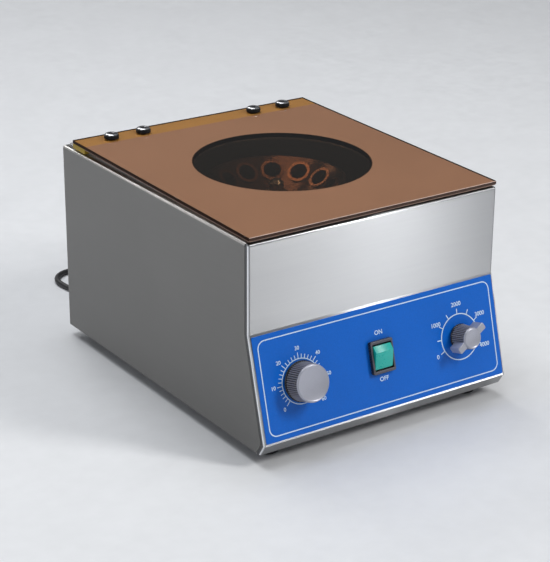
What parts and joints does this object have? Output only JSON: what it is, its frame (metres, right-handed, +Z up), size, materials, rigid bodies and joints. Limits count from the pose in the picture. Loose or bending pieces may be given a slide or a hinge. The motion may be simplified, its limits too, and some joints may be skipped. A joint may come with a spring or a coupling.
{
  "type": "benchtop butterfat centrifuge",
  "caption": "Benchtop angle-rotor centrifuge with a hinged windowed lid, slanted control panel, timer, rocker switch and speed control.",
  "frame": {"origin": "on the table, at the middle of the footprint of everything but the lead", "axes": "+X to the right seen from the front, +Y to the back, +Z up"},
  "size_m": [0.308, 0.5266, 0.2218],
  "materials": {
    "left_side_panel": "brushed stainless sheet, dark",
    "right_side_panel": "brushed stainless sheet",
    "front_panel": "brushed stainless sheet",
    "rear_panel": "brushed stainless sheet",
    "base_plate": "plain sheet",
    "top_deck": "brushed stainless sheet",
    "feet": "moulded rubber",
    "foot_screws": "zinc plated",
    "base_screws": "zinc plated",
    "rear_screws": "zinc plated",
    "control_plate": "satin blue paint with white marks",
    "mouth_trim": "extruded rubber",
    "chamber_bowl": "spun stainless",
    "shaft_seal": "moulded rubber",
    "pillars": "turned steel",
    "rubber_isolators": "moulded rubber",
    "isolator_studs": "zinc plated",
    "motor_plate": "plain sheet",
    "motor_shell": "black paint",
    "motor_end_bells": "cast",
    "tie_bolts": "zinc plated",
    "stator_core": "laminated steel",
    "field_coils": "enamelled wire",
    "ball_bearings": "ground",
    "brush_holders": "moulded",
    "carbon_brushes": "pressed carbon",
    "switch_body": "moulded black",
    "switch_terminals": "plated",
    "switch_rocker": "translucent green",
    "timer_case": "pressed",
    "timer_knob": "moulded silver grey",
    "timer_spindle": "turned",
    "speed_control": "moulded",
    "control_nuts": "plated",
    "speed_knob": "moulded silver grey",
    "speed_spindle": "turned",
    "circuit_board": "solder mask",
    "board_parts": "moulded",
    "terminal_block": "moulded",
    "fuse_holder": "moulded black",
    "wiring": "insulated wire",
    "hinge_fixed_leaves": "stainless",
    "hinge_lid_leaves": "stainless",
    "hinge_screws": "zinc plated",
    "lid_plate": "amber acrylic",
    "lid_backing": "brown film",
    "hinge_rail": "yellow plastic",
    "lid_screws": "polished",
    "motor_shaft": "turned steel",
    "armature": "laminated steel and copper",
    "cooling_fan": "moulded",
    "rotor": "black anodised",
    "rotor_nut": "turned steel",
    "tube_sleeves": "black anodised",
    "strain_relief": "moulded",
    "lead": "flexible sheath",
    "lead_coil": "flexible sheath",
    "coil_tie": "plastic strip",
    "plug_body": "moulded black",
    "plug_pins": "plated brass"
  },
  "bodies": {
    "housing": {"left_side_panel": "left_side_panel", "right_side_panel": "right_side_panel", "front_panel": "front_panel", "rear_panel": "rear_panel", "base_plate": "base_plate", "top_deck": "top_deck", "feet": "feet", "foot_screws": "foot_screws", "base_screws": "base_screws", "rear_screws": "rear_screws", "control_plate": "control_plate", "mouth_trim": "mouth_trim", "chamber_bowl": "chamber_bowl", "shaft_seal": "shaft_seal", "pillars": "pillars", "rubber_isolators": "rubber_isolators", "isolator_studs": "isolator_studs", "motor_plate": "motor_plate", "motor_shell": "motor_shell", "motor_end_bells": "motor_end_bells", "tie_bolts": "tie_bolts", "stator_core": "stator_core", "field_coils": "field_coils", "ball_bearings": "ball_bearings", "brush_holders": "brush_holders", "carbon_brushes": "carbon_brushes", "switch_body": "switch_body", "switch_terminals": "switch_terminals", "timer_case": "timer_case", "speed_control": "speed_control", "control_nuts": "control_nuts", "circuit_board": "circuit_board", "board_parts": "board_parts", "terminal_block": "terminal_block", "fuse_holder": "fuse_holder", "wiring": "wiring", "hinge_fixed_leaves": "hinge_fixed_leaves", "hinge_screws": "hinge_screws", "strain_relief": "strain_relief", "lead": "lead", "lead_coil": "lead_coil", "coil_tie": "coil_tie", "plug_body": "plug_body", "plug_pins": "plug_pins"},
    "lid": {"hinge_lid_leaves": "hinge_lid_leaves", "lid_plate": "lid_plate", "lid_backing": "lid_backing", "hinge_rail": "hinge_rail", "lid_screws": "lid_screws"},
    "rotor": {"motor_shaft": "motor_shaft", "armature": "armature", "cooling_fan": "cooling_fan", "rotor": "rotor", "rotor_nut": "rotor_nut", "tube_sleeves": "tube_sleeves"},
    "timer_dial": {"timer_knob": "timer_knob", "timer_spindle": "timer_spindle"},
    "speed_dial": {"speed_knob": "speed_knob", "speed_spindle": "speed_spindle"},
    "rocker": {"switch_rocker": "switch_rocker"}
  },
  "joints": [
    {"name": "lid_hinge", "type": "hinge", "parent": "housing", "child": "lid", "pos_m": [0, 0.16514, 0.2105], "axis": [-1, 0, 0], "range_deg": [0, 100]},
    {"name": "rotor_spin", "type": "hinge", "parent": "housing", "child": "rotor", "pos_m": [0, 0.00724, 0.166], "axis": [0, 0, 1], "continuous": true},
    {"name": "timer_turn", "type": "hinge", "parent": "housing", "child": "timer_dial", "pos_m": [-0.0917, -0.16824, 0.07037], "axis": [0, 0.966, -0.2587], "range_deg": [0, 270]},
    {"name": "speed_turn", "type": "hinge", "parent": "housing", "child": "speed_dial", "pos_m": [0.091, -0.1685, 0.06941], "axis": [0, 0.966, -0.2587], "range_deg": [0, 240]},
    {"name": "rocker_tilt", "type": "hinge", "parent": "housing", "child": "rocker", "pos_m": [-0.0026, -0.16825, 0.07265], "axis": [-1, 0, 0], "range_deg": [0, 16]}
  ]
}
